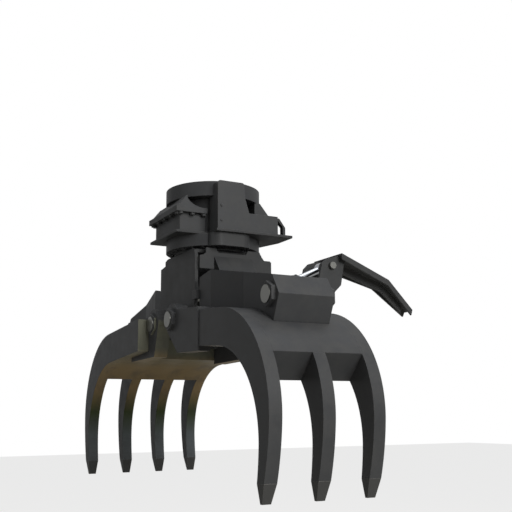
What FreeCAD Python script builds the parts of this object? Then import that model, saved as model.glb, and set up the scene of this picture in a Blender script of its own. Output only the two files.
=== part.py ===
"""Log grapple: slewing rotator, head, a three-tine jaw, a four-tine jaw and a stabiliser arm.

Frame: millimetres, +Z up. The origin lies on the slewing axis at the top face of the mounting
ring. X is the way the jaws open and Y runs along their pivot pins. "near" is -Y, "far" is +Y,
"right" is +X and "left" is -X. The grapple stands open, as it hangs above a pile of logs.
"""

import FreeCAD, Part
import math
import os

V = FreeCAD.Vector

# ---------------------------------------------------------------- driving dimensions (mm, degrees)
# Mounting ring and rotator column
ring_radius = 256.0
ring_height = 78.0
ring_bore_radius = 150.0
mount_bolt_circle = 400.0
mount_bolt_count = 12
mount_bolt_hole = 22.0
neck_radius = 190.0
neck_height = 188.0
base_plate_thickness = 13.0
base_plate_half_width = 189.0
base_plate_near = 291.0
lobe_reach = 302.0
lobe_near = 116.0
lobe_far = 328.0

# Valve block on the near side of the rotator
valve_half_width = 169.0
valve_near = 266.0
valve_back = 122.0
valve_height = 95.0
lid_overhang = 30.0
lid_thickness = 29.0
lid_bolt_across_flats = 22.0
lid_bolt_height = 12.0
hood_height = 62.0
hood_lean = 50.0
hood_side_thickness = 12.0
hood_front_thickness = 10.0

# Hose tower and tray on the right of the rotator
tower_depth = 100.0
tower_face = 290.0
tower_near = 106.0
tower_top_width = 154.0
tower_top_gap = 8.0
tray_far = 246.0
tray_height = 98.0
tower_corner_radius = 16.0
tower_screw_diameter = 14.0
guard_bar = 15.0
guard_reach = 54.0
guard_bend = 36.0
rear_hood_width = 100.0
rear_hood_reach = 250.0

# Slewing bearing housing and its drive
housing_radius = 253.0
housing_height = 64.0
housing_bolt_count = 24
housing_bolt_circle = 452.0
housing_bolt_diameter = 16.0
motor_proud = 28.0
motor_half_width = 115.0
motor_centre_y = -13.0
motor_height = 70.0
motor_corner_radius = 56.0
running_gap = 0.3
journal_clearance = 0.05
journal_wall = 30.0

# Head
turntable_radius = 205.0
turntable_thickness = 13.0
journal_height = 40.0
head_top_thickness = 18.0
head_plate_thickness = 18.0
head_half_depth = 195.0
head_right = 205.0
head_left = 268.0
head_shoulder_left = 202.0
head_top_left = 168.0
head_top_right = 172.0
head_shoulder_drop = 44.0
head_skirt_height = 228.0
shoulder_chamfer = 10.0
lug_radius = 80.0
lug_neck = 10.0
lug_drop = 34.0
lug_boss_depth = 20.0
thrust_collar_radius = 62.0
pin_boss_radius = 48.0
pin_boss_depth = 26.0
panel_thickness = 12.0
panel_stand_off = 10.0
panel_height = 110.0
panel_slot = 18.0
panel_far = 232.0
panel_notch_half_width = 85.0
panel_notch_depth = 22.0
notch_slope = 12.0
pocket_end = 142.0
pocket_radius = 10.0
pocket_step = 8.0
rib_thickness = 12.0
cover_half_width = 109.0
cover_centre = 12.0
cover_drop = 42.0
cover_height = 90.0
cover_lean = 36.0
cover_shift = 18.0
stop_flange = 16.0
stop_reach = 35.0
stop_proud = 6.0
stop_lift = 2.0
stop_height = 46.0
web_thickness = 12.0

# Jaw pivots
pivot_half_span = 122.0
pivot_height = -724.0
pin_radius = 40.0
pin_proud = 17.0
hex_across_flats = 100.0
hex_end_gap = 5.0
pin_clearance = 0.05

# Jaw plates, in a jaw frame with its origin on the pivot and x pointing away from the head
tine_thickness = 60.0
tine_pitch = 250.0
tine_pass_gap = 14.0
plate_heading = 4.0
back_height = 35.6
back_straight_end = 569.0
back_radius = 467.0
back_end_heading = 94.4
tip_radius = 1015.0
tip_end_heading = 108.0
root_depth = 171.0
inner_straight_end = 531.0
inner_radius = 413.0
inner_end_heading = 93.4
inner_tip_radius = 1085.0
inner_tip_end_heading = 100.6
hub_block_proud = 5.0
hub_block_top = 50.0
hub_block_end_top = 28.0
hub_block_bottom = -174.0
hub_block_end_drop = 7.0
heel_right = 80.0
heel_left = -27.0
outer_tine_start = 60.0
tip_length = 78.0
tip_edge = 16.0
tip_edge_width = 40.0
tip_edge_inset = 8.0

# Box between the tines of a jaw
box_start = 328.0
box_right_back_heading = 58.0
box_right_inner_heading = 53.0
box_left_back_heading = 43.0
box_left_inner_heading = 37.5
box_back_skin = 20.0
box_inner_skin = 16.0
box_end_skin = 20.0
barrel_notch_end = 470.0
barrel_notch_depth = 64.0
barrel_notch_gap = 8.0

# Housing of the jaw cylinder, on the back of the jaw
cheek_half_width = 185.0
nose_half_width = 142.0
cheek_thickness = 15.0
cheek_start_right = 121.0
cheek_start_left = 152.0
cheek_top_start = 255.0
cheek_fold_end = 520.0
cheek_heel_height = 205.0
cheek_top_height = 225.0
nose_top = (794.0, 121.0)
nose_tip = (852.0, 31.0)
nose_bottom = (794.0, -95.0)
cheek_foot_height = 48.0
cheek_foot_start = 196.0
cheek_foot_length = 132.0
nose_roof_length = 150.0
nose_inset_share = 1.15
nose_plate_thickness = 10.0
foot_thickness = 16.0

# Jaw cylinders
rod_pin = (772.0, 36.0)
rod_pin_radius = 40.0
rod_pin_core_radius = 22.0
rod_pin_core_half = 45.0
rod_boss_wall = 12.0
rod_pin_end = 167.0
barrel_pin = (100.0, -590.0)
barrel_pin_radius = 30.0
barrel_radius = 58.0
barrel_bore = 44.0
barrel_length = 500.0
barrel_eye_radius = 56.0
eye_half_width = 35.0
gland_length = 34.0
gland_radius = 52.0
rod_radius = 27.0
rod_eye_radius = 44.0
rod_eye_play = 9.5
rod_length = 640.0
piston_length = 50.0

# Stabiliser arm on the far side of the head
arm_pivot = (648.0, -514.0)
arm_rod_pin = (700.0, -366.0)
arm_pin_radius = 20.0
arm_pin_half_length = 128.0
arm_bracket_half_width = 86.0
arm_bracket_thickness = 16.0
arm_ear_half_width = 106.0
arm_ear_thickness = 18.0
arm_root = (746.0, -296.0)
arm_fold = (1122.0, -415.0)
arm_tip = (1324.0, -580.0)
arm_root_half_width = 150.0
arm_fold_half_width = 85.0
arm_tip_half_width = 32.0
arm_depth = 34.0
arm_skin = 12.0
arm_rib_depth = 62.0
arm_base_pin = (275.0, -562.0)
arm_base_depth = 55.0
arm_base_margin = 4.0
arm_base_groove = 21.0
arm_bracket_foot = 90.0
arm_bracket_drop = 30.0
bracket_eye_radius = 46.0
eye_room = 30.0
arm_eye_room = 8.0
arm_barrel_radius = 36.0
arm_barrel_bore = 27.0
arm_barrel_length = 262.0
arm_gland_length = 24.0
arm_rod_radius = 20.0
arm_rod_length = 390.0
arm_eye_half_width = 24.0
arm_eye_radius = 34.0
side_gap = 2.0

# ---------------------------------------------------------------- derived places
neck_bottom = -ring_height - neck_height
base_bottom = neck_bottom - base_plate_thickness
housing_bottom = base_bottom - housing_height
turntable_top = housing_bottom - running_gap
head_top = turntable_top - turntable_thickness
lid_bottom = neck_bottom + valve_height
lid_top = lid_bottom + lid_thickness
lid_half_width = valve_half_width + lid_overhang
lid_near = valve_near + lid_overhang
tine_outer = tine_pitch + tine_thickness / 2
hub_outer = tine_outer + hub_block_proud
hub_inner = tine_pitch - tine_thickness / 2
left_tine_inner = tine_outer + tine_pass_gap
pin_end = left_tine_inner + pin_proud
left_tine_pitch = (left_tine_inner + tine_thickness / 2) * 2 / 3
shoulder_bottom = head_top - head_shoulder_drop
skirt_bottom = shoulder_bottom - head_skirt_height
plate_inner = head_half_depth - head_plate_thickness
motor_face = housing_radius + motor_proud


# ---------------------------------------------------------------- shape helpers
def face_of(points, place):
    """Face of a closed outline; place turns each two-number point into a vector."""
    return Part.Face(Part.makePolygon([place(*p) for p in points + points[:1]]))


def prism_x(points, x0, x1):
    return face_of(points, lambda y, z: V(x0, y, z)).extrude(V(x1 - x0, 0, 0))


def prism_y(points, y0, y1):
    return face_of(points, lambda x, z: V(x, y0, z)).extrude(V(0, y1 - y0, 0))


def prism_z(points, z0, z1):
    return face_of(points, lambda x, y: V(x, y, z0)).extrude(V(0, 0, z1 - z0))


def block(x0, x1, y0, y1, z0, z1):
    return Part.makeBox(x1 - x0, y1 - y0, z1 - z0, V(x0, y0, z0))


def rod_between(start, end, radius):
    """Cylinder of a radius between two points."""
    along = V(*end) - V(*start)
    return Part.makeCylinder(radius, along.Length, V(*start), along)


def disc_y(x, z, radius, y0, y1):
    return rod_between((x, y0, z), (x, y1, z), radius)


def disc_x(y, z, radius, x0, x1):
    return rod_between((x0, y, z), (x1, y, z), radius)


def disc_z(radius, z0, z1, x=0.0, y=0.0):
    return rod_between((x, y, z0), (x, y, z1), radius)


def hexagon(across_flats):
    """Corners of a hexagon about the origin with two upright flats."""
    reach = across_flats / math.sqrt(3)
    turns = [math.radians(60 * k) for k in range(6)]
    return [(reach * math.sin(t), reach * math.cos(t)) for t in turns]


def hex_y(x, z, across_flats, y0, y1):
    return prism_y([(x + a, z + b) for a, b in hexagon(across_flats)], y0, y1)


def hex_z(x, y, across_flats, z0, z1):
    return prism_z([(x + a, y + b) for a, b in hexagon(across_flats)], z0, z1)


def both_sides(y0, y1):
    """The near and the far copy of a Y range given on the far side."""
    return ((-y1, -y0), (y0, y1))


def save(name, shape):
    solids = shape.removeSplitter().Solids
    result = solids[0] if len(solids) == 1 else Part.Compound(solids)
    result.exportStep("parts/" + name + ".step")


def swap_side(shape):
    """Copy of a right-hand shape mirrored onto the left."""
    return shape.mirror(V(0, 0, 0), V(1, 0, 0))


# ---------------------------------------------------------------- rotator
def mount_ring():
    """Ring that bolts under the carrier's slewing adapter."""
    ring = disc_z(ring_radius, -ring_height, 0).cut(disc_z(ring_bore_radius, -ring_height - 1, 1))
    for k in range(mount_bolt_count):
        turn = 2 * math.pi * k / mount_bolt_count
        reach = mount_bolt_circle / 2
        x, y = reach * math.cos(turn), reach * math.sin(turn)
        ring = ring.cut(disc_z(mount_bolt_hole / 2, -ring_height - 1, 1, x, y))
    return ring


def neck():
    return disc_z(neck_radius, neck_bottom, -ring_height).cut(
        disc_z(ring_bore_radius, neck_bottom - 1, -ring_height + 1)
    )


def base_plate():
    outline = [
        (-base_plate_half_width, -base_plate_near),
        (base_plate_half_width, -base_plate_near),
        (base_plate_half_width, -lobe_near),
        (lobe_reach, -lobe_near),
        (lobe_reach, lobe_far),
        (base_plate_half_width - 40, lobe_far),
        (-base_plate_half_width, lobe_far * 0.7),
    ]
    plate = prism_z(outline, base_bottom, neck_bottom)
    return plate.cut(disc_z(ring_bore_radius, base_bottom - 1, neck_bottom + 1))


def valve_box():
    box = block(-valve_half_width, valve_half_width, -valve_near, -valve_back, neck_bottom, lid_bottom)
    return box.cut(disc_z(neck_radius + side_gap, neck_bottom - 1, lid_bottom + 1))


def valve_lid():
    """Flanged lid with its row of bolt heads underneath and nuts on top."""
    lid = block(-lid_half_width, lid_half_width, -lid_near, -valve_back, lid_bottom, lid_top)
    lid = lid.cut(disc_z(neck_radius + side_gap, lid_bottom - 1, lid_top + 1))
    middle = lid_overhang / 2
    row_y = -valve_near - middle
    places = [(valve_half_width * k / 2, row_y) for k in (-2, -1, 0, 1, 2)]
    side_step = (valve_near - valve_back - middle) / 2
    for k in range(3):
        for side in (-1, 1):
            places.append((side * (valve_half_width + middle), -valve_near + k * side_step))
    for x, y in places:
        lid = lid.fuse(hex_z(x, y, lid_bolt_across_flats, lid_bottom - lid_bolt_height, lid_bottom))
    return lid


def valve_hood():
    """Leaning front plate between two gussets, from the lid up to the mounting ring."""
    foot = -lid_near + lid_overhang / 3
    crest = foot + hood_lean
    top = lid_top + hood_height
    back = -valve_back - 6
    gusset = [(foot, lid_top), (crest, top)]
    steps = 5
    for k in range(1, steps + 1):
        turn = math.radians(90 * k / steps)
        y = crest + (back - crest) * (1 - math.cos(turn))
        z = top - hood_height * math.sin(turn)
        gusset.append((y, z))
    hood = None
    width = lid_half_width - hood_side_thickness
    for side in (-1, 1):
        edge = side * width
        plate = prism_x(gusset, edge - hood_side_thickness / 2, edge + hood_side_thickness / 2)
        hood = plate if hood is None else hood.fuse(plate)
    thick = hood_front_thickness
    front = [(foot, lid_top), (crest, top), (crest + thick, top), (foot + thick, lid_top)]
    hood = hood.fuse(prism_x(front, -width, width))
    ring_room = disc_z(ring_radius + side_gap, -ring_height, top + 1)
    neck_room = disc_z(neck_radius + side_gap, lid_top - 1, top + 1)
    return hood.cut(ring_room).cut(neck_room)


def tower_box():
    """Tall hose box with a lower tray beside it, in one welded cover."""
    back = tower_face - tower_depth
    top = -tower_top_gap
    edge = -tower_near + tower_top_width
    tray_top = neck_bottom + tray_height
    outline = [
        (-tower_near, neck_bottom),
        (-tower_near, top),
        (edge, top),
        (edge + 5, -ring_height - 16),
        (edge + 28, tray_top),
        (tray_far, tray_top),
        (tray_far, neck_bottom),
    ]
    box = prism_x(outline, back, tower_face)
    corner = [e for e in box.Edges if on_line_x(e, edge, top) or on_line_x(e, -tower_near, top)]
    box = box.makeFillet(tower_corner_radius, corner)
    box = box.cut(disc_z(ring_radius + side_gap, -ring_height - side_gap, 10))
    for z in (neck_bottom + 48, neck_bottom + 126):
        screw = disc_x(-tower_near + 22, z, tower_screw_diameter / 2, tower_face - 4, tower_face + 5)
        box = box.fuse(screw)
    return box


def on_line_x(edge, y, z):
    """True for a straight edge along X at a given y and z."""
    return all(abs(v.Y - y) < 0.01 and abs(v.Z - z) < 0.01 for v in edge.Vertexes)


def hose_guard():
    """Bent square bar that shields the hose tails at the far end of the tray."""
    tray_top = neck_bottom + tray_height
    outer = [
        (tray_far, tray_top - 4),
        (tray_far + guard_reach - guard_bend, tray_top - 4),
        (tray_far + guard_reach, tray_top - 52),
        (tray_far + guard_reach, neck_bottom),
    ]
    inner = [
        (tray_far + guard_reach - guard_bar, neck_bottom),
        (tray_far + guard_reach - guard_bar, tray_top - 48),
        (tray_far + guard_reach - guard_bend - guard_bar / 2, tray_top - 4 - guard_bar),
        (tray_far, tray_top - 4 - guard_bar),
    ]
    return prism_x(outer + inner, tower_face - 3 * guard_bar, tower_face - guard_bar)


def rear_hood():
    """Closed sloping cover on the far side, from the mounting ring down to the base plate."""
    start = neck_radius - 30
    top = -ring_height
    outline = [
        (start, neck_bottom),
        (start, top),
        (neck_radius + side_gap, top),
        (rear_hood_reach, neck_bottom + tray_height + 20),
        (rear_hood_reach, neck_bottom),
    ]
    right = tower_face - tower_depth
    hood = prism_x(outline, right - rear_hood_width, right)
    return hood.cut(disc_z(neck_radius, neck_bottom - 1, top + 1))


def slew_housing():
    """Slewing bearing housing with its ring of bolts underneath."""
    body = disc_z(housing_radius, housing_bottom, base_bottom)
    for k in range(housing_bolt_count):
        turn = 2 * math.pi * (k + 0.5) / housing_bolt_count
        reach = housing_bolt_circle / 2
        x, y = reach * math.cos(turn), reach * math.sin(turn)
        body = body.fuse(hex_z(x, y, housing_bolt_diameter, housing_bottom - 6, housing_bottom))
    return body.cut(disc_z(ring_bore_radius, housing_bottom - 1, base_bottom + 1))


def slew_motor():
    """Rounded drive housing under the right lobe, wrapped round the bearing."""
    low, high = motor_centre_y - motor_half_width, motor_centre_y + motor_half_width
    bottom = base_bottom - motor_height
    box = block(housing_radius / 2, motor_face, low, high, bottom, base_bottom)
    upright = [
        e
        for e in box.Edges
        if abs(e.Vertexes[0].X - motor_face) < 0.01
        and abs(e.Vertexes[1].X - motor_face) < 0.01
        and abs(e.Vertexes[0].Z - e.Vertexes[1].Z) > 1
    ]
    box = box.makeFillet(motor_corner_radius, upright)
    return box.cut(disc_z(housing_radius + side_gap, bottom - 1, base_bottom))


# ---------------------------------------------------------------- head
def turntable():
    """Flange that carries the head and its journal inside the slewing housing."""
    flange = disc_z(turntable_radius, head_top, turntable_top)
    outer = ring_bore_radius - journal_clearance
    journal = disc_z(outer, turntable_top, turntable_top + journal_height)
    bore = disc_z(outer - journal_wall, head_top - 1, turntable_top + journal_height + 1)
    return flange.fuse(journal).cut(bore)


def side_range(side, low, high):
    """Y range between two depths, on the near side (-1) or on the far side (+1)."""
    return (-high, -low) if side < 0 else (low, high)


def head_side(side):
    """Side plate with stepped shoulders above and two pivot lugs below."""
    foot = pivot_half_span + lug_radius - lug_neck
    outline = [
        (-foot, pivot_height),
        (-foot, skirt_bottom - lug_drop),
        (-head_left, skirt_bottom),
        (-head_left, shoulder_bottom),
        (-head_shoulder_left, shoulder_bottom + shoulder_chamfer),
        (-head_shoulder_left, head_top - shoulder_chamfer),
        (-head_top_left, head_top),
        (head_top_right, head_top),
        (head_right - shoulder_chamfer, head_top - shoulder_chamfer),
        (head_right, shoulder_bottom),
        (head_right, skirt_bottom),
        (foot, skirt_bottom - lug_drop),
        (foot, pivot_height),
        (0, pivot_height + lug_radius / 2),
    ]
    plate = prism_y(outline, *side_range(side, plate_inner, head_half_depth))
    boss_depth = plate_inner - lug_boss_depth
    collar_end = hub_inner - running_gap
    for x in (-pivot_half_span, pivot_half_span):
        lug = disc_y(x, pivot_height, lug_radius, *side_range(side, boss_depth, head_half_depth))
        collar = disc_y(x, pivot_height, thrust_collar_radius, *side_range(side, boss_depth, collar_end))
        plate = plate.fuse(lug).fuse(collar)
    for x in (-barrel_pin[0], barrel_pin[0]):
        span = side_range(side, plate_inner - pin_boss_depth, plate_inner)
        plate = plate.fuse(disc_y(x, barrel_pin[1], pin_boss_radius, *span))
        plate = plate.cut(disc_y(x, barrel_pin[1], barrel_pin_radius, -plate_inner, plate_inner))
    for x in (-pivot_half_span, pivot_half_span):
        plate = plate.cut(disc_y(x, pivot_height, pin_radius + pin_clearance, -hub_inner, hub_inner))
    return plate


def head_roof():
    bottom = head_top - head_top_thickness
    roof = block(-head_shoulder_left, head_top_right, -plate_inner, plate_inner, bottom, head_top)
    return roof.cut(disc_z(ring_bore_radius - journal_wall, bottom - 1, head_top + 1))


def head_panel(edge, cover):
    """Front panel with the drive notch on top; cover adds the leaning cylinder cover."""
    back = edge + panel_stand_off
    front = back + panel_thickness
    bottom = head_top - panel_height
    notch = panel_notch_half_width
    near = -head_half_depth + panel_slot
    outline = [
        (near, bottom),
        (near, shoulder_bottom),
        (-pocket_end - pocket_radius, shoulder_bottom + pocket_step),
        (-pocket_end, shoulder_bottom + pocket_step + pocket_radius),
        (-pocket_end, head_top),
        (-notch, head_top),
        (-notch + notch_slope, head_top - panel_notch_depth),
        (notch, head_top - panel_notch_depth),
        (notch + notch_slope, head_top),
        (plate_inner - 10, head_top),
        (plate_inner, head_top - panel_notch_depth),
        (head_half_depth, shoulder_bottom),
        (panel_far, shoulder_bottom),
        (panel_far, bottom),
    ]
    panel = prism_x(outline, back, front)
    ribs = block(edge - 30, back, -plate_inner, -plate_inner + rib_thickness, bottom, shoulder_bottom)
    ribs = ribs.fuse(block(edge - 30, back, plate_inner - rib_thickness, plate_inner, bottom, shoulder_bottom))
    panel = panel.fuse(ribs)
    if not cover:
        return panel
    start = head_top - cover_drop
    end = start - cover_height
    window = prism_x(cover_sides(start, bottom - 1, 0), back - 1, front + 1)
    low = front + cover_lean
    lean = [(back, start), (front, start), (low, end), (low - panel_thickness, end)]
    sides = prism_x(cover_sides(start, end, cover_shift), 0, low + 1)
    blade = prism_y(lean, -panel_far, panel_far).common(sides)
    return panel.cut(window).fuse(blade)


def cover_sides(top, bottom, shift):
    """Outline of the cover in the plane of the panel; its lower edge is shifted along Y."""
    low = cover_centre - cover_half_width
    high = cover_centre + cover_half_width
    return [(low, top), (high, top), (high + shift, bottom), (low + shift, bottom)]


def head_web():
    """Upright web between the two jaw cylinders, from the roof to the pivot lugs."""
    top = head_top - head_top_thickness
    return block(-web_thickness / 2, web_thickness / 2, -plate_inner, plate_inner, pivot_height, top)


def cylinder_pin():
    """Pin across the head that carries the foot of a jaw cylinder."""
    return disc_y(*barrel_pin, barrel_pin_radius, -plate_inner, plate_inner)


def stop_block():
    """Stop on the lower front corner of the near side plate, with a flange on the plate's face."""
    outside = -head_half_depth
    low = skirt_bottom + stop_lift
    high = low + stop_height
    flange = block(head_right - stop_flange, head_right, outside - stop_proud, outside, low, high)
    body = block(head_right, head_right + stop_reach, outside - stop_proud, -plate_inner - 1, low, high)
    return body.fuse(flange)


# ---------------------------------------------------------------- jaws
def walk(x, z, heading, steps):
    """Edges and end point of a route in the jaw's XZ plane. Headings are degrees below +x.

    A step is (length,) for a straight or (radius, end_heading) for an arc bending downwards.
    """
    edges = []
    for step in steps:
        start = V(x, 0, z)
        a = math.radians(heading)
        if len(step) == 1:
            x, z = x + step[0] * math.cos(a), z - step[0] * math.sin(a)
            edges.append(Part.LineSegment(start, V(x, 0, z)).toShape())
            continue
        radius, end_heading = step
        b = math.radians(end_heading)
        cx, cz = x - radius * math.sin(a), z - radius * math.cos(a)
        middle = (a + b) / 2
        via = V(cx + radius * math.sin(middle), 0, cz + radius * math.cos(middle))
        x, z = cx + radius * math.sin(b), cz + radius * math.cos(b)
        edges.append(Part.Arc(start, via, V(x, 0, z)).toShape())
        heading = end_heading
    return edges, (x, z)


def line(p, q):
    return Part.LineSegment(V(p[0], 0, p[1]), V(q[0], 0, q[1])).toShape()


def back_line(x):
    """Height of the straight part of the back curve above the pivot."""
    return back_height - x * math.tan(math.radians(plate_heading))


def straight(start, end):
    """Length along the plate heading between two x values."""
    return (end - start) / math.cos(math.radians(plate_heading))


def back_start(start, skin=0.0):
    """Point on the back curve at x = start, moved inwards by a skin thickness."""
    a = math.radians(plate_heading)
    return start - skin * math.sin(a), back_line(start) - skin * math.cos(a)


def inner_start(start, skin=0.0):
    """Point on the inner curve at x = start, moved inwards by a skin thickness."""
    a = math.radians(plate_heading)
    return start + skin * math.sin(a), back_line(start) - root_depth + skin * math.cos(a)


def jaw_face(start, back_arcs, inner_arcs, back_skin=0.0, inner_skin=0.0):
    """Face between the back and the inner curve of a jaw, from x = start to the last arcs' ends."""
    first, last = back_start(start, back_skin), inner_start(start, inner_skin)
    back, back_end = walk(*first, plate_heading, [(straight(start, back_straight_end),)] + back_arcs)
    inner, inner_end = walk(*last, plate_heading, [(straight(start, inner_straight_end),)] + inner_arcs)
    edges = back + [line(back_end, inner_end)] + inner[::-1] + [line(last, first)]
    return Part.Face(Part.Wire(Part.__sortEdges__(edges))), back_end, inner_end


def tine_arcs():
    back = [(back_radius, back_end_heading), (tip_radius, tip_end_heading)]
    inner = [(inner_radius, inner_end_heading), (inner_tip_radius, inner_tip_end_heading)]
    return back, inner


def stretch_y(face, y0, y1):
    """Solid from a jaw face spread between two y values."""
    moved = face.copy()
    moved.translate(V(0, y0, 0))
    return moved.extrude(V(0, y1 - y0, 0))


def tine(row, start):
    """Tine plate on a row, from x = start to the shoulder of its tip."""
    face = jaw_face(start, *tine_arcs())[0]
    return stretch_y(face, row - tine_thickness / 2, row + tine_thickness / 2)


def lower_tine(row, headings):
    """Tine that starts at the end plate of the box."""
    room = box_face(headings, reach=back_radius)
    return tine(row, box_start).cut(stretch_y(room, row - tine_thickness, row + tine_thickness))


def box_face(headings, reach=0.0, back_skin=0.0, inner_skin=0.0, end_skin=0.0):
    """Side profile of the box between the tines; skins shrink it and reach makes it deeper."""
    start = box_start + end_skin
    back_turn = headings[0] - math.degrees(end_skin / back_radius)
    inner_turn = headings[1] - math.degrees(end_skin / inner_radius)
    back_arcs = [(back_radius - back_skin, back_turn)]
    inner_arcs = [(inner_radius + inner_skin, inner_turn)]
    face, high, low = jaw_face(start, back_arcs, inner_arcs, back_skin, inner_skin)
    if reach == 0:
        return face
    size = math.hypot(high[0] - low[0], high[1] - low[1])
    ux, uz = (high[0] - low[0]) / size, (high[1] - low[1]) / size
    top = (high[0] + ux * reach, high[1] + uz * reach)
    bottom = (low[0] - ux * reach, low[1] - uz * reach)
    back = (start - reach, bottom[1])
    return face_of([bottom, top, (start - reach, top[1]), back], lambda x, z: V(x, 0, z))


def tangent_point(x, z, radius):
    """Point where a line from (x, z) touches the hub circle on the side of the other jaw."""
    distance = math.hypot(x, z)
    turn = math.atan2(z, x) - math.acos(radius / distance)
    return radius * math.cos(turn), radius * math.sin(turn)


def hub_block(side, heel, outer):
    """Thick side piece with the round pivot hub, the pin's bore and its hexagonal keeper."""
    outline = [
        tangent_point(heel, hub_block_bottom, lug_radius),
        (heel, hub_block_bottom),
        (box_start, hub_block_bottom - hub_block_end_drop),
        (box_start, hub_block_end_top),
        (0, hub_block_top),
    ]
    span = side_range(side, hub_inner, outer)
    shape = prism_y(outline, *span).fuse(disc_y(0, 0, lug_radius, *span))
    shape = shape.fuse(hex_y(0, 0, hex_across_flats, *side_range(side, outer, pin_end - hex_end_gap)))
    return shape.cut(disc_y(0, 0, pin_radius, *side_range(side, hub_inner - 1, pin_end)))


def tine_tip(row):
    """Faceted wedge point on the end of a tine."""
    back_end, inner_end = jaw_face(box_start, *tine_arcs())[1:]
    half = tine_thickness / 2
    edge_half = tip_edge_width / 2
    edge_x = inner_end[0] + tip_edge_inset
    edge_z = inner_end[1] - tip_length
    top = [(back_end, -half), (back_end, half), (inner_end, half), (inner_end, -half)]
    front, back = (edge_x + tip_edge, edge_z), (edge_x, edge_z)
    bottom = [(front, -edge_half), (front, edge_half), (back, edge_half), (back, -edge_half)]
    wires = []
    for loop in (top, bottom):
        wires.append(Part.makePolygon([V(p[0], row + y, p[1]) for p, y in loop + loop[:1]]))
    return Part.makeLoft(wires, True, True)


def jaw_box(half_width, headings):
    """Hollow box beam that joins the tines of a jaw, notched for the barrel of the closed jaw."""
    body = stretch_y(box_face(headings), -half_width, half_width)
    cavity = box_face(headings, 0.0, box_back_skin, box_inner_skin, box_end_skin)
    body = body.cut(stretch_y(cavity, -half_width + box_end_skin, half_width - box_end_skin))
    wide = barrel_radius + barrel_notch_gap
    top = back_height + 1
    return body.cut(block(box_start - 1, barrel_notch_end, -wide, wide, top - barrel_notch_depth - 1, top))


def housing_outline(start, inset=0.0):
    """Side outline of the cylinder housing from x = start; an inset outline has an open top."""
    nose_inset = nose_inset_share * nose_plate_thickness if inset > 0 else 0.0
    top = (nose_top[0] - nose_inset, nose_top[1])
    head_end = [top]
    if inset > 0:
        head_end = [(cheek_top_start, 2 * cheek_top_height), (top[0], 2 * cheek_top_height), top]
    return [
        (start - inset, cheek_foot_height),
        (start - inset, cheek_heel_height + 2 * inset),
        (cheek_top_start, cheek_top_height + 2 * inset),
        *head_end,
        (nose_tip[0] - nose_inset, nose_tip[1]),
        (nose_bottom[0] - nose_inset, nose_bottom[1] - 1),
        (cheek_foot_start, nose_bottom[1] - 1),
    ]


def housing_plan(start, inset=0.0):
    """Plan of the housing, which narrows from the cheeks to the nose."""
    wide, slim = cheek_half_width - inset, nose_half_width - inset
    front = nose_tip[0] + 10
    half = [(start - inset, wide), (cheek_top_start, wide), (cheek_fold_end, slim), (front, slim)]
    return half + [(x, -y) for x, y in reversed(half)]


def nose_roof():
    """Cover plate over the rod pin, in line with the top edges of the cheeks."""
    slope = (nose_top[1] - cheek_top_height) / (nose_top[0] - cheek_top_start)
    start_z = nose_top[1] - nose_roof_length * slope
    start_x = nose_top[0] - nose_roof_length
    outline = [
        (start_x, start_z - cheek_thickness),
        (start_x, start_z),
        nose_top,
        (nose_top[0] + cheek_thickness / 2, nose_top[1] - cheek_thickness),
    ]
    return prism_y(outline, -nose_half_width + 1, nose_half_width - 1)


def cylinder_housing(headings, start):
    """Folded cheeks and pointed nose on the back of a jaw, with keepers for the rod pin."""
    low, high = nose_bottom[1] - 10, 3 * cheek_top_height
    outside = prism_z(housing_plan(start), low, high)
    body = outside.common(prism_y(housing_outline(start), -hub_inner, hub_inner))
    inside = prism_z(housing_plan(start, cheek_thickness), low, high)
    room = prism_y(housing_outline(start, cheek_thickness), -hub_inner, hub_inner)
    body = body.cut(inside.common(room))
    body = body.fuse(nose_roof())
    x, z = rod_pin
    for side in (-1, 1):
        keeper_range = side_range(side, nose_half_width - 1, rod_pin_end - hex_end_gap)
        keeper = hex_y(x, z, hex_across_flats, *keeper_range)
        boss_range = side_range(side, rod_pin_core_half, nose_half_width - cheek_thickness)
        body = body.fuse(keeper).fuse(disc_y(x, z, rod_pin_radius + rod_boss_wall, *boss_range))
        body = body.fuse(cheek_foot(side))
    body = body.cut(disc_y(x, z, rod_pin_radius, -rod_pin_end, rod_pin_end))
    return body.cut(stretch_y(box_face(headings), -left_tine_inner, left_tine_inner))


def cheek_foot(side):
    """Flat foot that ties a cheek to the hub block and to the back of the box."""
    end = cheek_foot_start + cheek_foot_length
    top = hub_block_end_top
    low, high = sorted(side_range(side, cheek_half_width - cheek_thickness, hub_inner))
    return block(cheek_foot_start, end, low, high, top - foot_thickness, top)


def pivot_pin(side):
    """Short pivot pin in one side of a jaw, with a running fit in the head's lug."""
    return disc_y(0, 0, pin_radius, *side_range(side, plate_inner - lug_boss_depth, pin_end))


def rod_pin_shape():
    """Rod pin with a slimmer core, on which the eye of the rod has play."""
    core = disc_y(*rod_pin, rod_pin_core_radius, -rod_pin_core_half, rod_pin_core_half)
    for side in (-1, 1):
        core = core.fuse(disc_y(*rod_pin, rod_pin_radius, *side_range(side, rod_pin_core_half, rod_pin_end)))
    return core


# ---------------------------------------------------------------- cylinders
def along(shape, start, end, axis_y):
    """Lays a shape built along +X from the origin onto the line from start to end.

    axis_y True lays it in the XZ plane with its eyes along Y, False in the YZ plane along X.
    """
    dx, dz = end[0] - start[0], end[1] - start[1]
    turn = math.degrees(math.atan2(dz, dx))
    placed = shape.copy()
    placed.rotate(V(0, 0, 0), V(0, 1, 0), -turn)
    placed.translate(V(start[0], 0, start[1]))
    if not axis_y:
        placed.rotate(V(0, 0, 0), V(0, 0, 1), 90)
    return placed


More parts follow.
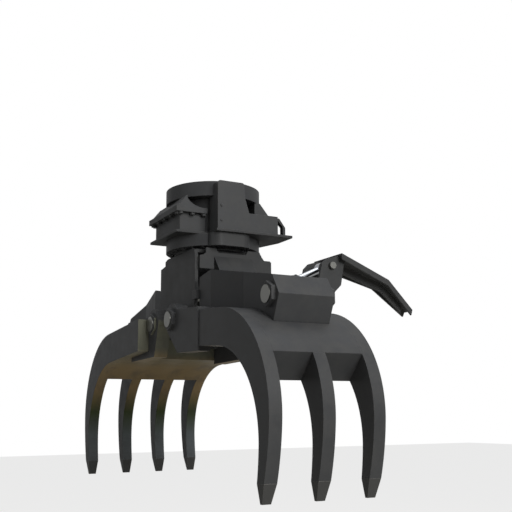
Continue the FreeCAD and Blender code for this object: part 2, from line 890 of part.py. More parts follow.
def barrel(radius, bore, length, eye_radius, eye_half, pin, gland_r, gland_len, rod_r):
    """Cylinder barrel along +X with its foot eye at the origin and a gland at its mouth."""
    tube = disc_at(radius, eye_radius * 0.8, length)
    eye = disc_y(0, 0, eye_radius, -eye_half, eye_half)
    gland = disc_at(gland_r, length, length + gland_len)
    hollow = disc_at(bore, eye_radius * 0.8 + 24, length)
    mouth = disc_at(rod_r + pin_clearance, length - 1, length + gland_len + 1)
    body = tube.fuse(eye).fuse(gland).cut(hollow).cut(mouth)
    return body.cut(disc_y(0, 0, pin + pin_clearance, -eye_half - 1, eye_half + 1))


def disc_at(radius, x0, x1):
    """Cylinder along X from x0 to x1 on the axis."""
    return rod_between((x0, 0, 0), (x1, 0, 0), radius)


def piston_rod(reach, length, radius, piston_r, piston_len, eye_radius, eye_half, bore):
    """Rod along +X whose eye lies at x = reach, with its piston inside the barrel."""
    shaft = disc_at(radius, reach - length, reach - eye_radius * 0.6)
    piston = disc_at(piston_r, reach - length, reach - length + piston_len)
    eye = disc_y(reach, 0, eye_radius, -eye_half, eye_half)
    return shaft.fuse(piston).fuse(eye).cut(disc_y(reach, 0, bore, -eye_half - 1, eye_half + 1))


def jaw_cylinder():
    """Barrel and rod of the right jaw's cylinder, in the frame of the head."""
    end = (rod_pin[0] + pivot_half_span, rod_pin[1] + pivot_height)
    reach = math.hypot(end[0] - barrel_pin[0], end[1] - barrel_pin[1])
    tube = barrel(
        barrel_radius, barrel_bore, barrel_length, barrel_eye_radius, eye_half_width,
        barrel_pin_radius, gland_radius, gland_length, rod_radius,
    )
    rod = piston_rod(
        reach, rod_length, rod_radius, barrel_bore - pin_clearance, piston_length,
        rod_eye_radius, eye_half_width, rod_pin_core_radius + rod_eye_play,
    )
    return along(tube, barrel_pin, end, True), along(rod, barrel_pin, end, True)


# ---------------------------------------------------------------- stabiliser arm
def arm_bracket():
    """Pair of brackets from the far side plate out to the arm's pivot, on one upright base."""
    root = head_half_depth
    y, z = arm_pivot
    foot = root + arm_bracket_foot
    outline = [
        (root, shoulder_bottom - arm_bracket_drop),
        (foot - bracket_eye_radius, shoulder_bottom - arm_bracket_drop - 10),
        (y - bracket_eye_radius, z + bracket_eye_radius),
        (y, z + bracket_eye_radius),
        (y, z - bracket_eye_radius),
        (y - bracket_eye_radius, z - bracket_eye_radius),
        (foot, skirt_bottom),
        (root, skirt_bottom),
    ]
    bracket = None
    wide = arm_bracket_half_width
    for low, high in both_sides(wide - arm_bracket_thickness, wide):
        plate = prism_x(outline, low, high).fuse(disc_x(y, z, bracket_eye_radius, low, high))
        plate = plate.cut(disc_x(y, z, arm_pin_radius + pin_clearance, low - 1, high + 1))
        plate = plate.cut(disc_x(*arm_base_pin, arm_pin_radius, low - 1, high + 1))
        bracket = plate if bracket is None else bracket.fuse(plate)
    low, high = skirt_bottom + arm_base_margin, shoulder_bottom
    base = block(-head_shoulder_left, head_right, root, root + arm_base_depth, low, high)
    groove_y = root + arm_base_depth * 0.7
    groove = block(
        head_right - arm_base_groove, head_right + 1, groove_y, groove_y + arm_base_groove / 3,
        low + arm_base_groove, high - arm_base_groove,
    )
    bracket = bracket.fuse(base.cut(groove))
    front = arm_base_pin[0] - arm_eye_radius - arm_eye_room
    room = block(-eye_room, eye_room, front, foot, low - 10, arm_base_pin[1] + arm_eye_radius + arm_eye_room)
    return bracket.cut(room)


def arm_centre(y):
    """Height of the arm's top face at a distance y along it."""
    (y0, z0), (y1, z1), (y2, z2) = arm_root, arm_fold, arm_tip
    if y <= y1:
        return z0 + (z1 - z0) * (y - y0) / (y1 - y0)
    return z1 + (z2 - z1) * (y - y1) / (y2 - y1)


def arm_band(top_offset, bottom_offset, start):
    """Side outline of the bent arm between two depths below its top face."""
    (y0, z0), (y1, z1), (y2, z2) = arm_root, arm_fold, arm_tip
    start_z = z0 + (z1 - z0) * (start - y0) / (y1 - y0)
    top = [(start, start_z - top_offset), (y1, z1 - top_offset), (y2, z2 - top_offset)]
    bottom = [(y2 - 12, z2 - bottom_offset), (y1 - 6, z1 - bottom_offset), (start, start_z - bottom_offset)]
    return top + bottom


def arm_plan(inset):
    half = [
        (arm_root_half_width - inset, arm_root[0] - 100),
        (arm_root_half_width - inset, arm_root[0]),
        (arm_fold_half_width - inset, arm_fold[0]),
        (arm_tip_half_width - inset, arm_tip[0] + 60),
    ]
    return half + [(-x, y) for x, y in reversed(half)]


def arm_beam():
    """Bent channel arm with edge flanges, a middle rib and two ears round its pivot."""
    low, high = arm_tip[1] - arm_root_half_width, arm_root[1] + arm_root_half_width
    wide = 2 * arm_root_half_width
    band = arm_band(0, arm_depth, arm_root[0])
    outer = prism_x(band, -wide, wide).common(prism_z(arm_plan(0), low, high))
    room = prism_x(arm_band(arm_skin, arm_depth + arm_skin, arm_root[0] - arm_skin), -wide, wide)
    room = room.common(prism_z(arm_plan(arm_skin), low, high))
    beam = outer.cut(room)
    rib = prism_x(arm_band(arm_skin / 2, arm_rib_depth, arm_root[0] + 40), -arm_skin / 2, arm_skin / 2)
    beam = beam.fuse(rib.common(block(-50, 50, arm_root[0], arm_tip[0] - 60, low, high)))
    y, z = arm_rod_pin
    ear = [
        (arm_pivot[0] - 52, arm_pivot[1] - 20),
        (y - 62, z + 8),
        (y - 30, z + 40),
        (arm_root[0] + 8, arm_root[1] - arm_skin / 2),
        (arm_root[0] + 60, arm_centre(arm_root[0] + 60) - arm_skin / 2),
        (arm_root[0] + 40, arm_centre(arm_root[0]) - 60),
        (y + 64, z - 108),
        (arm_pivot[0] + 30, arm_pivot[1] - 44),
        (arm_pivot[0] - 30, arm_pivot[1] - 44),
    ]
    wide = arm_ear_half_width
    for side_low, side_high in both_sides(wide - arm_ear_thickness, wide):
        plate = prism_x(ear, side_low, side_high).fuse(disc_x(*arm_pivot, 52, side_low, side_high))
        plate = plate.cut(disc_x(*arm_pivot, arm_pin_radius, side_low - 1, side_high + 1))
        plate = plate.cut(disc_x(y, z, arm_pin_radius, side_low - 1, side_high + 1))
        beam = beam.fuse(plate)
    return beam


def arm_pin(centre, half_length):
    return disc_x(*centre, arm_pin_radius, -half_length, half_length)


def arm_cylinder():
    """Barrel and rod of the stabiliser's cylinder."""
    reach = math.hypot(arm_rod_pin[0] - arm_base_pin[0], arm_rod_pin[1] - arm_base_pin[1])
    tube = barrel(
        arm_barrel_radius, arm_barrel_bore, arm_barrel_length, arm_eye_radius, arm_eye_half_width,
        arm_pin_radius, arm_barrel_radius - 4, arm_gland_length, arm_rod_radius,
    )
    rod = piston_rod(
        reach, arm_rod_length, arm_rod_radius, arm_barrel_bore - pin_clearance, 30,
        arm_eye_radius, arm_eye_half_width, arm_pin_radius + 6,
    )
    return along(tube, arm_base_pin, arm_rod_pin, False), along(rod, arm_base_pin, arm_rod_pin, False)


# ---------------------------------------------------------------- assembly
def place_jaw(shape, right=True):
    """Moves a shape from the jaw frame to its pivot, mirrored for the left jaw."""
    moved = shape.copy()
    moved.translate(V(pivot_half_span, 0, pivot_height))
    return moved if right else swap_side(moved)


def write_rotator():
    save("mount_ring", mount_ring())
    save("rotator_neck", neck())
    save("base_plate", base_plate())
    save("valve_box", valve_box())
    save("valve_lid", valve_lid())
    save("valve_hood", valve_hood())
    save("tower_box", tower_box())
    save("hose_guard", hose_guard())
    save("rear_hood", rear_hood())
    save("slew_housing", slew_housing())
    save("slew_motor", slew_motor())


def write_head():
    save("turntable", turntable())
    save("head_side_near", head_side(-1))
    save("head_side_far", head_side(1))
    save("head_roof", head_roof())
    save("head_panel_right", head_panel(head_right, True))
    save("head_panel_left", swap_side(head_panel(head_left, False)))
    save("head_web", head_web())
    save("cylinder_pin_right", cylinder_pin())
    save("cylinder_pin_left", swap_side(cylinder_pin()))
    save("stop_block", stop_block())
    save("arm_bracket", arm_bracket())


def write_jaw_right():
    headings = (box_right_back_heading, box_right_inner_heading)
    save("jaw_right_hub_near", place_jaw(hub_block(-1, heel_right, hub_outer)))
    save("jaw_right_hub_far", place_jaw(hub_block(1, heel_right, hub_outer)))
    save("jaw_right_tine_near", place_jaw(tine(-tine_pitch, box_start)))
    save("jaw_right_tine_middle", place_jaw(lower_tine(0.0, headings)))
    save("jaw_right_tine_far", place_jaw(tine(tine_pitch, box_start)))
    for number, row in enumerate((-tine_pitch, 0.0, tine_pitch), 1):
        save("jaw_right_tip_%d" % number, place_jaw(tine_tip(row)))
    save("jaw_right_box", place_jaw(jaw_box(hub_inner, headings)))
    save("jaw_right_housing", place_jaw(cylinder_housing(headings, cheek_start_right)))
    save("jaw_right_pin_near", place_jaw(pivot_pin(-1)))
    save("jaw_right_pin_far", place_jaw(pivot_pin(1)))
    save("jaw_right_rod_pin", place_jaw(rod_pin_shape()))


def write_jaw_left():
    headings = (box_left_back_heading, box_left_inner_heading)
    save("jaw_left_hub_near", place_jaw(hub_block(-1, heel_left, left_tine_inner), False))
    save("jaw_left_hub_far", place_jaw(hub_block(1, heel_left, left_tine_inner), False))
    for number, step in enumerate((-1.5, -0.5, 0.5, 1.5), 1):
        row = left_tine_pitch * step
        plate = tine(row, outer_tine_start) if abs(step) > 1 else lower_tine(row, headings)
        save("jaw_left_tine_%d" % number, place_jaw(plate, False))
        save("jaw_left_tip_%d" % number, place_jaw(tine_tip(row), False))
    save("jaw_left_box", place_jaw(jaw_box(left_tine_inner, headings), False))
    save("jaw_left_housing", place_jaw(cylinder_housing(headings, cheek_start_left), False))
    save("jaw_left_pin_near", place_jaw(pivot_pin(-1), False))
    save("jaw_left_pin_far", place_jaw(pivot_pin(1), False))
    save("jaw_left_rod_pin", place_jaw(rod_pin_shape(), False))


def write_cylinders():
    tube, rod = jaw_cylinder()
    save("barrel_right", tube)
    save("rod_right", rod)
    save("barrel_left", swap_side(tube))
    save("rod_left", swap_side(rod))


def write_arm():
    tube, rod = arm_cylinder()
    save("arm_beam", arm_beam())
    save("arm_pivot_pin", arm_pin(arm_pivot, arm_pin_half_length))
    save("arm_rod_pin", arm_pin(arm_rod_pin, arm_pin_half_length))
    save("arm_base_pin", arm_pin(arm_base_pin, arm_bracket_half_width))
    save("arm_barrel", tube)
    save("arm_rod", rod)


os.makedirs("parts", exist_ok=True)
write_rotator()
write_head()
write_jaw_right()
write_jaw_left()
write_cylinders()
write_arm()
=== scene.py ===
import math

import bpy
import numpy as np
from mathutils import Matrix, Vector

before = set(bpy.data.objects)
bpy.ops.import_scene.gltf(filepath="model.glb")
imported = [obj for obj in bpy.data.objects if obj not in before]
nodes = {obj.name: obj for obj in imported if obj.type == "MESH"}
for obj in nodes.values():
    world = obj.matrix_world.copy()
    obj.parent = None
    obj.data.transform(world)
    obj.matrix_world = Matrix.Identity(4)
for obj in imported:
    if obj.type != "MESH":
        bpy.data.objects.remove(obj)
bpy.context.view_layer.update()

# ---------------------------------------------------------------- Studio
# The grapple hangs in front of a white sweep, a little above a pale floor.
# The camera looks slightly upwards from the right of the near side.
eye = Vector((3.91907, -1.81870, -1.20126))
heading, rise, roll = 0.489184, 0.194448, -0.0081054
forward = Vector((-math.cos(heading) * math.cos(rise), math.sin(heading) * math.cos(rise), math.sin(rise)))
level_right = Vector((math.sin(heading), math.cos(heading), 0.0))
level_up = level_right.cross(forward)
right = level_right * math.cos(roll) + level_up * math.sin(roll)
up = level_up * math.cos(roll) - level_right * math.sin(roll)
camera_data = bpy.data.cameras.new("camera")
camera_data.sensor_width = 36.0
camera_data.lens = 806.16 / 512 * camera_data.sensor_width
camera = bpy.data.objects.new("camera", camera_data)
turn = Matrix((right, up, -forward)).transposed().to_4x4()
camera.matrix_world = Matrix.Translation(eye) @ turn
bpy.context.collection.objects.link(camera)
bpy.context.scene.camera = camera
bpy.context.scene.view_settings.view_transform = "Standard"

floor_height = -2.3
floor_size = 40.0


def sheet_grid(side, height):
    """Flat square grid: x and y run from -side/2 to side/2 at one height."""
    steps = np.linspace(-side / 2, side / 2, 3)
    x, y = np.meshgrid(steps, steps)
    points = np.stack([x.ravel(), y.ravel(), np.full(x.size, height)], axis=1)
    corner = (np.arange(2)[:, None] * 3 + np.arange(2)[None, :]).ravel()
    faces = np.stack([corner, corner + 1, corner + 4, corner + 3], axis=1)
    mesh = bpy.data.meshes.new("floor")
    mesh.from_pydata(points.tolist(), [], faces.tolist())
    return mesh


def seen_white(tree, shader, brightness, gloss_share):
    """Mixes a shader with plain white for what the camera and glass see, and partly for gloss."""
    path = tree.nodes.new("ShaderNodeLightPath")
    glow = tree.nodes.new("ShaderNodeEmission")
    glow.inputs["Strength"].default_value = brightness
    first = tree.nodes.new("ShaderNodeMath")
    first.operation = "MAXIMUM"
    second = tree.nodes.new("ShaderNodeMath")
    second.operation = "MAXIMUM"
    blend = tree.nodes.new("ShaderNodeMixShader")
    tree.links.new(path.outputs["Is Camera Ray"], first.inputs[0])
    gloss = tree.nodes.new("ShaderNodeMath")
    gloss.operation = "MULTIPLY"
    gloss.inputs[1].default_value = gloss_share
    tree.links.new(path.outputs["Is Glossy Ray"], gloss.inputs[0])
    tree.links.new(gloss.outputs[0], first.inputs[1])
    tree.links.new(first.outputs[0], second.inputs[0])
    tree.links.new(path.outputs["Is Transmission Ray"], second.inputs[1])
    tree.links.new(shader, blend.inputs[1])
    tree.links.new(glow.outputs[0], blend.inputs[2])
    return second.outputs[0], blend


floor = bpy.data.objects.new("floor", sheet_grid(floor_size, floor_height))
bpy.context.collection.objects.link(floor)
floor_paint = bpy.data.materials.new("floor_paint")
floor_paint.use_nodes = True
floor_tree = floor_paint.node_tree
floor_shader = floor_tree.nodes["Principled BSDF"]
floor_shader.inputs["Base Color"].default_value = (0.62, 0.60, 0.54, 1.0)
floor_shader.inputs["Roughness"].default_value = 0.9
camera_mask, floor_blend = seen_white(floor_tree, floor_shader.outputs[0], 1.0, 0.25)
soften = floor_tree.nodes.new("ShaderNodeMath")
soften.operation = "MULTIPLY"
soften.inputs[1].default_value = 0.8
floor_tree.links.new(camera_mask, soften.inputs[0])
floor_tree.links.new(soften.outputs[0], floor_blend.inputs[0])
floor_tree.links.new(floor_blend.outputs[0], floor_tree.nodes["Material Output"].inputs["Surface"])
floor.data.materials.append(floor_paint)

world = bpy.data.worlds.new("studio")
bpy.context.scene.world = world
world.use_nodes = True
world_tree = world.node_tree
world_light = world_tree.nodes["Background"]
world_light.inputs["Color"].default_value = (0.93, 0.96, 1.0, 1.0)
world_light.inputs["Strength"].default_value = 0.10
world_mask, world_blend = seen_white(world_tree, world_light.outputs[0], 1.0, 0.45)
world_tree.links.new(world_mask, world_blend.inputs[0])
world_tree.links.new(world_blend.outputs[0], world_tree.nodes["World Output"].inputs["Surface"])

lamps = [
    ("lamp_right", (5.2, 0.6, 1.0), 3.0, 200.0, (1.0, 1.0, 0.98)),
    ("lamp_above", (1.2, 0.8, 4.0), 4.0, 95.0, (0.94, 0.97, 1.0)),
    ("lamp_near", (0.5, -5.0, 0.6), 3.0, 20.0, (0.98, 1.0, 0.99)),
]
for name, place, size, power, tint in lamps:
    lamp_data = bpy.data.lights.new(name, "AREA")
    lamp_data.size = size
    lamp_data.energy = power
    lamp_data.color = tint
    lamp = bpy.data.objects.new(name, lamp_data)
    aim = Vector((0.0, 0.0, -0.8)) - Vector(place)
    lamp.matrix_world = Matrix.Translation(place) @ aim.to_track_quat("-Z", "Y").to_matrix().to_4x4()
    bpy.context.collection.objects.link(lamp)

# ---------------------------------------------------------------- Paint
# Every welded and machined part carries one satin dark grey enamel, sprayed over
# primer. It is a little thinner and paler on edges and carries a faint film of dust.


def socket(group, name, kind, value=None, out=False):
    """Adds one named input or output to a shader node group."""
    item = group.interface.new_socket(name, in_out="OUTPUT" if out else "INPUT", socket_type=kind)
    if value is not None:
        item.default_value = value
    return item


def enamel_group():
    """Sprayed enamel: colour drifts with two noises, edges pale, faces dust and orange-peel height."""
    group = bpy.data.node_groups.new("enamel", "ShaderNodeTree")
    socket(group, "Colour", "NodeSocketColor", (0.05, 0.05, 0.052, 1.0))
    socket(group, "Edge Colour", "NodeSocketColor", (0.16, 0.16, 0.165, 1.0))
    socket(group, "Dust Colour", "NodeSocketColor", (0.17, 0.16, 0.14, 1.0))
    socket(group, "Dust", "NodeSocketFloat", 0.12)
    socket(group, "Wear", "NodeSocketFloat", 0.5)
    socket(group, "Roughness", "NodeSocketFloat", 0.45)
    socket(group, "Grain Scale", "NodeSocketFloat", 180.0)
    socket(group, "Edge Radius", "NodeSocketFloat", 0.004)
    socket(group, "Colour", "NodeSocketColor", out=True)
    socket(group, "Roughness", "NodeSocketFloat", out=True)
    socket(group, "Height", "NodeSocketFloat", out=True)
    socket(group, "Normal", "NodeSocketVector", out=True)
    make, link = group.nodes.new, group.links.new
    source, sink = make("NodeGroupInput"), make("NodeGroupOutput")
    place = make("ShaderNodeTexCoord")

    def noise(scale, detail, rough):
        node = make("ShaderNodeTexNoise")
        node.inputs["Scale"].default_value = scale
        node.inputs["Detail"].default_value = detail
        node.inputs["Roughness"].default_value = rough
        link(place.outputs["Object"], node.inputs["Vector"])
        return node.outputs["Fac"]

    def number(kind, first, second, clamp=False):
        node = make("ShaderNodeMath")
        node.operation = kind
        node.use_clamp = clamp
        for slot, value in enumerate((first, second)):
            if isinstance(value, (int, float)):
                node.inputs[slot].default_value = value
            else:
                link(value, node.inputs[slot])
        return node.outputs[0]

    def ramp(value, low, high):
        node = make("ShaderNodeMapRange")
        node.inputs["From Min"].default_value = low
        node.inputs["From Max"].default_value = high
        link(value, node.inputs["Value"])
        return node.outputs["Result"]

    def mix(amount, first, second):
        node = make("ShaderNodeMix")
        node.data_type = "RGBA"
        link(amount, node.inputs[0])
        link(first, node.inputs[6])
        link(second, node.inputs[7])
        return node.outputs[2]

    def dot(first, second):
        node = make("ShaderNodeVectorMath")
        node.operation = "DOT_PRODUCT"
        link(first, node.inputs[0])
        link(second, node.inputs[1])
        return node.outputs["Value"]

    cloud = noise(2.2, 4.0, 0.6)
    blotch = noise(14.0, 5.0, 0.65)
    speck = noise(70.0, 3.0, 0.7)
    soft = make("ShaderNodeBevel")
    soft.samples = 6
    link(source.outputs["Edge Radius"], soft.inputs["Radius"])
    shape = make("ShaderNodeNewGeometry")
    edge = ramp(number("SUBTRACT", 1.0, dot(soft.outputs[0], shape.outputs["True Normal"])), 0.01, 0.22)
    worn = number("MULTIPLY", edge, ramp(speck, 0.40, 0.62))
    worn = number("ADD", number("MULTIPLY", worn, 0.8), number("MULTIPLY", edge, 0.35), True)
    worn = number("MULTIPLY", worn, source.outputs["Wear"], True)
    split = make("ShaderNodeSeparateXYZ")
    link(shape.outputs["True Normal"], split.inputs[0])
    lies_up = ramp(split.outputs["Z"], -0.4, 1.0)
    film = number("MULTIPLY", ramp(blotch, 0.38, 0.72), number("ADD", number("MULTIPLY", lies_up, 0.8), 0.4))
    film = number("MULTIPLY", film, source.outputs["Dust"], True)
    drift = make("ShaderNodeHueSaturation")
    link(source.outputs["Colour"], drift.inputs["Color"])
    link(number("ADD", number("MULTIPLY", cloud, 0.5), 0.75), drift.inputs["Value"])
    coat = mix(film, drift.outputs["Color"], source.outputs["Dust Colour"])
    coat = mix(worn, coat, source.outputs["Edge Colour"])
    link(coat, sink.inputs["Colour"])
    gloss = number("ADD", source.outputs["Roughness"], number("MULTIPLY", film, 0.5))
    gloss = number("ADD", gloss, number("MULTIPLY", number("SUBTRACT", blotch, 0.5), 0.22), True)
    link(gloss, sink.inputs["Roughness"])
    peel = make("ShaderNodeTexNoise")
    peel.inputs["Detail"].default_value = 2.0
    link(place.outputs["Object"], peel.inputs["Vector"])
    link(source.outputs["Grain Scale"], peel.inputs["Scale"])
    height = number("ADD", number("MULTIPLY", peel.outputs["Fac"], 0.25), number("MULTIPLY", blotch, 0.6))
    link(height, sink.inputs["Height"])
    link(soft.outputs[0], sink.inputs["Normal"])
    return group


enamel = enamel_group()


def painted(name, colour, roughness, wear=0.5, dust=0.12, edge=(0.14, 0.14, 0.145), grain=180.0, radius=0.004):
    """Material of one painted part: the enamel group with that part's own values."""
    material = bpy.data.materials.new(name)
    material.use_nodes = True
    tree = material.node_tree
    shader = tree.nodes["Principled BSDF"]
    shader.inputs["Specular IOR Level"].default_value = 0.12
    coat = tree.nodes.new("ShaderNodeGroup")
    coat.node_tree = enamel
    coat.inputs["Colour"].default_value = (*colour, 1.0)
    coat.inputs["Edge Colour"].default_value = (*edge, 1.0)
    coat.inputs["Dust"].default_value = dust
    coat.inputs["Wear"].default_value = wear
    coat.inputs["Roughness"].default_value = roughness
    coat.inputs["Grain Scale"].default_value = grain
    coat.inputs["Edge Radius"].default_value = radius
    bump = tree.nodes.new("ShaderNodeBump")
    bump.inputs["Strength"].default_value = 0.12
    bump.inputs["Distance"].default_value = 0.002
    tree.links.new(coat.outputs["Colour"], shader.inputs["Base Color"])
    tree.links.new(coat.outputs["Roughness"], shader.inputs["Roughness"])
    tree.links.new(coat.outputs["Height"], bump.inputs["Height"])
    tree.links.new(coat.outputs["Normal"], bump.inputs["Normal"])
    tree.links.new(bump.outputs["Normal"], shader.inputs["Normal"])
    return material


def dress(material, names):
    """Puts one material on the named CAD pieces."""
    for name in names:
        for slot in nodes[name].material_slots:
            slot.material = material


# ---------------------------------------------------------------- Rotator
# A turned mounting ring, a rolled column and the slewing bearing housing with its
# drive: heavy machined steel, sprayed after assembly so the coat is smooth and even.
column_paint = painted("column_paint", (0.052, 0.053, 0.056), 0.40, wear=0.45, dust=0.10)
dress(column_paint, ["mount_ring", "rotator_neck", "slew_housing", "turntable"])
drive_paint = painted("drive_paint", (0.047, 0.048, 0.050), 0.42, wear=0.35, dust=0.14)
dress(drive_paint, ["slew_motor"])

# ---------------------------------------------------------------- Covers
# Folded and welded sheet boxes round the column: valve box with its bolted lid,
# hose tower, guard bar and rear hood, all standing on one flame-cut base plate.
cover_paint = painted("cover_paint", (0.056, 0.057, 0.060), 0.46, wear=0.55, dust=0.16)
dress(cover_paint, ["valve_box", "valve_lid", "valve_hood", "tower_box", "rear_hood"])
plate_paint = painted("plate_paint", (0.044, 0.045, 0.047), 0.48, wear=0.7, dust=0.2)
dress(plate_paint, ["base_plate", "hose_guard"])

# ---------------------------------------------------------------- Head
# A box of thick plate that hangs from the turntable and carries the jaws on its
# lower lugs, with folded front panels, a stop block and the arm's bracket.
head_paint = painted("head_paint", (0.046, 0.047, 0.049), 0.47, wear=0.5, dust=0.14)
head_parts = ["head_side_near", "head_side_far", "head_roof", "head_web", "stop_block"]
dress(head_paint, head_parts + ["head_panel_right", "head_panel_left", "arm_bracket"])

# ---------------------------------------------------------------- Jaws
# Two claws of thick curved tines round a hollow box, with round hubs at the head
# and a folded housing over each cylinder. Paint is thin where logs wear the tines; inward faces carry a
# painted reflection.
jaw_paint = painted("jaw_paint", (0.054, 0.055, 0.058), 0.44, wear=0.55, dust=0.14)
housing_paint = painted("housing_paint", (0.050, 0.051, 0.054), 0.46, wear=0.5, dust=0.16)
tip_paint = painted("tip_paint", (0.060, 0.060, 0.060), 0.40, wear=0.9, dust=0.1, edge=(0.22, 0.21, 0.2))


def painted_reflection_group():
    """Painted reflection: a face that looks towards the other jaw takes a colour that changes with height,
    standing in for the surroundings mirrored in it.
    """
    group = bpy.data.node_groups.new("painted_reflection", "ShaderNodeTree")
    socket(group, "Paint", "NodeSocketColor", (0.05, 0.05, 0.052, 1.0))
    socket(group, "Inward", "NodeSocketFloat", 1.0)
    socket(group, "Strength", "NodeSocketFloat", 1.0)
    socket(group, "Colour", "NodeSocketColor", out=True)
    make, link = group.nodes.new, group.links.new
    source, sink = make("NodeGroupInput"), make("NodeGroupOutput")
    place, shape = make("ShaderNodeTexCoord"), make("ShaderNodeNewGeometry")
    split, facing = make("ShaderNodeSeparateXYZ"), make("ShaderNodeSeparateXYZ")
    link(place.outputs["Object"], split.inputs[0])
    link(shape.outputs["True Normal"], facing.inputs[0])
    inward = make("ShaderNodeMath")
    inward.operation = "MULTIPLY"
    link(facing.outputs["X"], inward.inputs[0])
    link(source.outputs["Inward"], inward.inputs[1])
    lean = make("ShaderNodeMath")
    lean.operation = "SUBTRACT"
    link(inward.outputs[0], lean.inputs[0])
    link(facing.outputs["Z"], lean.inputs[1])
    # Mask of the faces that look towards the other jaw and downwards, where the painted reflection goes.
    mask = make("ShaderNodeMapRange")
    mask.inputs["From Min"].default_value = 0.72
    mask.inputs["From Max"].default_value = 0.98
    link(lean.outputs[0], mask.inputs["Value"])
    reflection_noise = make("ShaderNodeTexNoise")
    reflection_noise.inputs["Scale"].default_value = 9.0
    reflection_noise.inputs["Detail"].default_value = 5.0
    link(place.outputs["Object"], reflection_noise.inputs["Vector"])
    patch = make("ShaderNodeMapRange")
    patch.inputs["From Min"].default_value = 0.30
    patch.inputs["From Max"].default_value = 0.50
    patch.inputs["To Min"].default_value = 0.6
    link(reflection_noise.outputs["Fac"], patch.inputs["Value"])
    amount = make("ShaderNodeMath")
    amount.operation = "MULTIPLY"
    link(mask.outputs["Result"], amount.inputs[0])
    link(patch.outputs["Result"], amount.inputs[1])
    whole = make("ShaderNodeMath")
    whole.operation = "MULTIPLY"
    link(amount.outputs[0], whole.inputs[0])
    link(source.outputs["Strength"], whole.inputs[1])
    level = make("ShaderNodeMapRange")
    level.inputs["From Min"].default_value = -1.5
    level.inputs["From Max"].default_value = -0.85
    link(split.outputs["Z"], level.inputs["Value"])
    # Painted reflection colours from bottom to top: grey-blue, olive green, then brown, as the surroundings
    # show in a glossy face.
    ramp = make("ShaderNodeValToRGB")
    stops = ramp.color_ramp.elements
    stops[0].color = (0.15, 0.17, 0.185, 1.0)
    stops[1].color = (0.17, 0.17, 0.13, 1.0)
    for spot, colour in ((0.28, (0.10, 0.115, 0.12)), (0.50, (0.045, 0.06, 0.022)), (0.72, (0.24, 0.17, 0.09)), (0.9, (0.26, 0.19, 0.10))):
        stops.new(spot).color = (*colour, 1.0)
    link(level.outputs["Result"], ramp.inputs[0])
    blend = make("ShaderNodeMix")
    blend.data_type = "RGBA"
    link(whole.outputs[0], blend.inputs[0])
    link(source.outputs["Paint"], blend.inputs[6])
    link(ramp.outputs["Color"], blend.inputs[7])
    link(blend.outputs[2], sink.inputs["Colour"])
    return group


painted_reflection = painted_reflection_group()


def with_painted_reflection(material, name, inward, strength):
    """Copy of a painted material with a painted reflection on the faces that look inwards."""
    copy = material.copy()
    copy.name = name
    tree = copy.node_tree
    shader = tree.nodes["Principled BSDF"]
    coat = shader.inputs["Base Color"].links[0].from_socket
    reflection_node = tree.nodes.new("ShaderNodeGroup")
    reflection_node.node_tree = painted_reflection
    reflection_node.inputs["Inward"].default_value = inward
    reflection_node.inputs["Strength"].default_value = strength
    tree.links.new(coat, reflection_node.inputs["Paint"])
    tree.links.new(reflection_node.outputs["Colour"], shader.inputs["Base Color"])
    return copy


jaw_nodes = [n for n in nodes if n.startswith("jaw_")]
# Both jaws get the painted reflection on their inward faces: fully on the left jaw, faintly on the right jaw.
left_paint = with_painted_reflection(jaw_paint, "left_jaw_painted_reflection", 1.0, 1.0)
right_paint = with_painted_reflection(jaw_paint, "right_jaw_painted_reflection", -1.0, 0.35)
for side, paint in (("jaw_left_", left_paint), ("jaw_right_", right_paint)):
    claw = [n for n in jaw_nodes if n.startswith(side)]
    dress(paint, [n for n in claw if "_tine_" in n or "_hub_" in n or n.endswith("_box")])
dress(housing_paint, [n for n in jaw_nodes if n.endswith("_housing")])
dress(tip_paint, [n for n in jaw_nodes if "_tip_" in n])

# ---------------------------------------------------------------- Stabiliser arm
# A bent channel beam on a bracket at the far side, with its own small cylinder.
arm_paint = painted("arm_paint", (0.060, 0.061, 0.063), 0.48, wear=0.6, dust=0.16)
dress(arm_paint, ["arm_beam"])

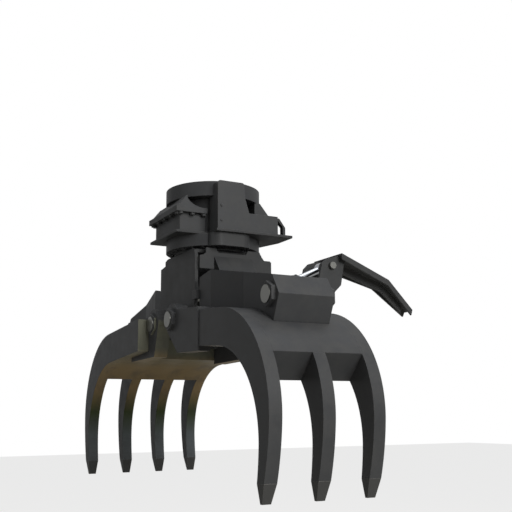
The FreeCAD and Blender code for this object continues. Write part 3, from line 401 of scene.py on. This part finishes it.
# ---------------------------------------------------------------- Cylinders and pins
# Barrels are painted tube; rods are hard chromed and ground; pins are turned steel
# with a bright oiled face.
barrel_paint = painted("barrel_paint", (0.040, 0.041, 0.044), 0.42, wear=0.3, dust=0.12)
dress(barrel_paint, ["barrel_right", "barrel_left", "arm_barrel"])


def bright_steel(name, colour, roughness, ring_scale, depth):
    """Turned or ground steel: a fine bump noise, faint oil clouds, bright and smooth."""
    material = bpy.data.materials.new(name)
    material.use_nodes = True
    tree = material.node_tree
    shader = tree.nodes["Principled BSDF"]
    shader.inputs["Metallic"].default_value = 1.0
    place = tree.nodes.new("ShaderNodeTexCoord")
    cloud = tree.nodes.new("ShaderNodeTexNoise")
    cloud.inputs["Scale"].default_value = 18.0
    cloud.inputs["Detail"].default_value = 4.0
    fine = tree.nodes.new("ShaderNodeTexNoise")
    fine.inputs["Scale"].default_value = ring_scale
    fine.inputs["Detail"].default_value = 2.0
    tone = tree.nodes.new("ShaderNodeMix")
    tone.data_type = "RGBA"
    tone.inputs[6].default_value = (*[0.72 * c for c in colour], 1.0)
    tone.inputs[7].default_value = (*colour, 1.0)
    gloss = tree.nodes.new("ShaderNodeMapRange")
    gloss.inputs["To Min"].default_value = roughness * 0.7
    gloss.inputs["To Max"].default_value = roughness * 1.5
    bump = tree.nodes.new("ShaderNodeBump")
    bump.inputs["Strength"].default_value = depth
    bump.inputs["Distance"].default_value = 0.0006
    tree.links.new(place.outputs["Object"], cloud.inputs["Vector"])
    tree.links.new(place.outputs["Object"], fine.inputs["Vector"])
    tree.links.new(cloud.outputs["Fac"], tone.inputs[0])
    tree.links.new(tone.outputs[2], shader.inputs["Base Color"])
    tree.links.new(cloud.outputs["Fac"], gloss.inputs["Value"])
    tree.links.new(gloss.outputs["Result"], shader.inputs["Roughness"])
    tree.links.new(fine.outputs["Fac"], bump.inputs["Height"])
    tree.links.new(bump.outputs["Normal"], shader.inputs["Normal"])
    return material


chrome = bright_steel("rod_chrome", (0.62, 0.64, 0.68), 0.16, 240.0, 0.05)
dress(chrome, ["rod_right", "rod_left", "arm_rod"])
pin_steel = bright_steel("pin_steel", (0.24, 0.24, 0.225), 0.34, 420.0, 0.2)
dress(pin_steel, [n for n in nodes if "_pin" in n])
